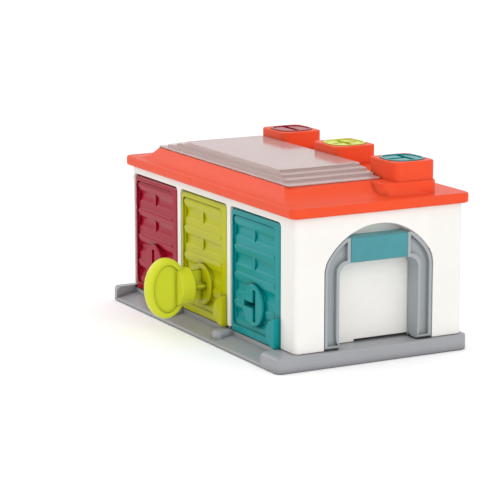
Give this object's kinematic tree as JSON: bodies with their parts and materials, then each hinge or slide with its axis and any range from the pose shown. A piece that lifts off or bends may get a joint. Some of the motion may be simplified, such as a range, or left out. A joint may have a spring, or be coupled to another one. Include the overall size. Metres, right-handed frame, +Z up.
{
  "type": "toy garage",
  "caption": "Free-standing toy garage with top-hung panelled doors behind keyed locks, a stepped skylight roof with key towers, and a folding end handle.",
  "frame": {"origin": "centre of the walls' footprint, on the ground", "axes": "+X along the door front towards the end with the handle, -Y out of the doors, +Z up"},
  "size_m": [0.256, 0.1783, 0.1315],
  "materials": {
    "base_plastic": "satin grey moulding",
    "wall_plastic": "semi-gloss white moulding",
    "roof_plastic": "semi-gloss orange moulding",
    "skylight_plastic": "translucent, faintly pink clear moulding",
    "handle_plastic": "satin grey moulding",
    "grip_rubber": "soft matt teal sleeve",
    "red_plastic": "semi-gloss dark red moulding",
    "lime_plastic": "semi-gloss lime moulding",
    "teal_plastic": "semi-gloss teal moulding",
    "steel": "plain zinc-bright steel"
  },
  "bodies": {
    "shell": {"base_tray": "base_plastic", "wall_housing": "wall_plastic", "partition_left": "wall_plastic", "partition_right": "wall_plastic", "roof": "roof_plastic", "skylight": "skylight_plastic", "key_tower_red": "roof_plastic", "key_tower_lime": "roof_plastic", "key_tower_teal": "roof_plastic", "key_holder_red": "red_plastic", "key_holder_lime": "lime_plastic", "key_holder_teal": "teal_plastic", "hinge_pin_red": "steel", "hinge_pin_lime": "steel", "hinge_pin_teal": "steel", "base_screw_1": "steel", "base_screw_2": "steel", "base_screw_3": "steel", "base_screw_4": "steel", "base_screw_5": "steel", "base_screw_6": "steel"},
    "door_red": {"door_red": "red_plastic"},
    "lock_red": {"lock_red": "red_plastic", "latch_red": "red_plastic", "latch_screw_red_1": "steel", "latch_screw_red_2": "steel"},
    "door_lime": {"door_lime": "lime_plastic"},
    "lock_lime": {"lock_lime": "lime_plastic", "latch_lime": "lime_plastic", "latch_screw_lime_1": "steel", "latch_screw_lime_2": "steel"},
    "door_teal": {"door_teal": "teal_plastic"},
    "lock_teal": {"lock_teal": "teal_plastic", "latch_teal": "teal_plastic", "latch_screw_teal_1": "steel", "latch_screw_teal_2": "steel"},
    "key": {"key_lime": "lime_plastic"},
    "handle": {"carry_handle": "handle_plastic", "handle_grip": "grip_rubber"}
  },
  "joints": [
    {"name": "door_red_swing", "type": "hinge", "parent": "shell", "child": "door_red", "pos_m": [-0.084, -0.0612, 0.092], "axis": [-1, 0, 0], "range_deg": [0, 90]},
    {"name": "door_lime_swing", "type": "hinge", "parent": "shell", "child": "door_lime", "pos_m": [-0.0078, -0.0612, 0.092], "axis": [-1, 0, 0], "range_deg": [0, 90]},
    {"name": "door_teal_swing", "type": "hinge", "parent": "shell", "child": "door_teal", "pos_m": [0.0684, -0.0612, 0.092], "axis": [-1, 0, 0], "range_deg": [0, 90]},
    {"name": "lock_red_turn", "type": "hinge", "parent": "door_red", "child": "lock_red", "pos_m": [-0.0864, -0.0612, 0.033], "axis": [0, 1, 0], "range_deg": [0, 90]},
    {"name": "lock_lime_turn", "type": "hinge", "parent": "door_lime", "child": "lock_lime", "pos_m": [-0.0102, -0.0612, 0.033], "axis": [0, 1, 0], "range_deg": [0, 90]},
    {"name": "lock_teal_turn", "type": "hinge", "parent": "door_teal", "child": "lock_teal", "pos_m": [0.066, -0.0612, 0.033], "axis": [0, 1, 0], "range_deg": [0, 90]},
    {"name": "key_lime_slide", "type": "slide", "parent": "lock_lime", "child": "key", "axis": [0, -1, 0], "range_m": [-0.009, 0.014]},
    {"name": "handle_fold", "type": "hinge", "parent": "shell", "child": "handle", "pos_m": [0.11745, -0.001, 0.01795], "axis": [0, 1, 0], "range_deg": [0, 90]}
  ]
}
